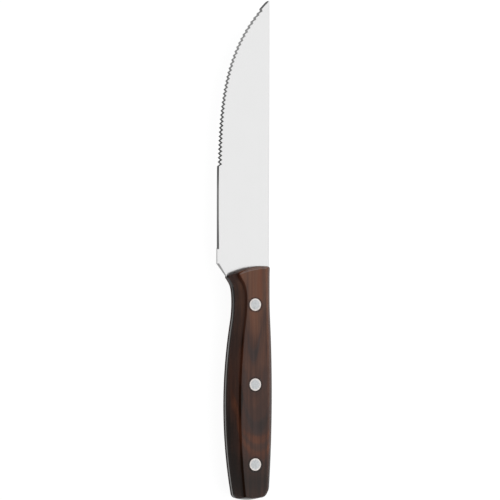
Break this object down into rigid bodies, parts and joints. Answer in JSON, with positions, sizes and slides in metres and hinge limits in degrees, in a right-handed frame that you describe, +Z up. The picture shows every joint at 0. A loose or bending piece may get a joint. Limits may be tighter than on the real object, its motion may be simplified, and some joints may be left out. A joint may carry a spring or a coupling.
{
  "type": "steak knife",
  "caption": "Fixed-blade steak knife: serrated full-tang steel blade between bevelled dark wood grip scales held by flush rivets.",
  "frame": {"origin": "middle of the outline, on the surface that the knife lies on with its right scale down", "axes": "+Z up through the left scale's flat, -X towards the tip, +X towards the butt, +Y towards the spine, -Y towards the cutting edge"},
  "size_m": [0.2356, 0.0272, 0.0151],
  "materials": {
    "blade_steel": "fine satin, with a ground edge",
    "scale_wood": "dark stained hardwood with lengthwise grain, satin sealed",
    "rivet_metal": "satin, sanded flush with the scales"
  },
  "bodies": {
    "root": {"blade": "blade_steel", "left_scale": "scale_wood", "right_scale": "scale_wood", "front_rivet_pin": "rivet_metal", "front_rivet_sleeve": "rivet_metal", "middle_rivet_pin": "rivet_metal", "middle_rivet_sleeve": "rivet_metal", "rear_rivet_pin": "rivet_metal", "rear_rivet_sleeve": "rivet_metal"}
  },
  "joints": []
}
